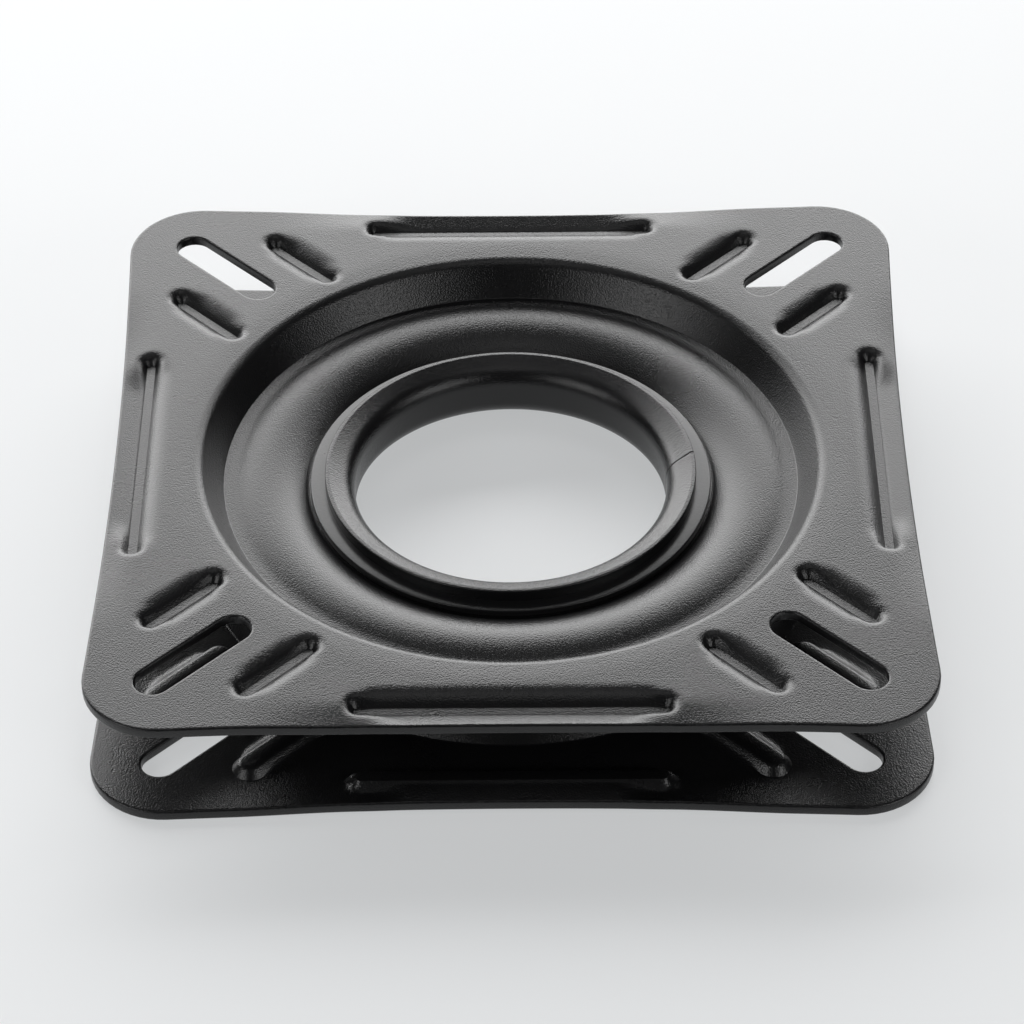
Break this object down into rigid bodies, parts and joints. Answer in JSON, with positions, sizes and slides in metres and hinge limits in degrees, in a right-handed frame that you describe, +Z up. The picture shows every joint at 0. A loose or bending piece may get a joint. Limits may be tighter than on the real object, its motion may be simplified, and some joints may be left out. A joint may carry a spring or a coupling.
{
  "type": "swivel seat base",
  "caption": "Square seat swivel of paired dished steel plates that turn on each other about a wide centre eyelet, with diagonal bolt slots in the corners and pressed ribs.",
  "frame": {"origin": "centre of the lower plate's bottom face", "axes": "+Z up along the swivel axis, +X and +Y square to the plates' sides"},
  "size_m": [0.18, 0.18, 0.0264],
  "materials": {
    "plate_coat": "semi-gloss black powder coat with a fine leather-like grain",
    "eyelet_coat": "semi-gloss black powder coat with a fine leather-like grain",
    "washer_plastic": "black moulded plastic, satin",
    "bearing_plastic": "black moulded plastic, lightly greased"
  },
  "bodies": {
    "base": {"lower_plate": "plate_coat", "centre_eyelet": "eyelet_coat", "upper_wear_washer": "washer_plastic", "lower_wear_washer": "washer_plastic", "bearing_ring": "bearing_plastic"},
    "turntable": {"upper_plate": "plate_coat"}
  },
  "joints": [
    {"name": "swivel", "type": "hinge", "parent": "base", "child": "turntable", "pos_m": [0, 0, 0.0132], "axis": [0, 0, 1], "continuous": true}
  ]
}
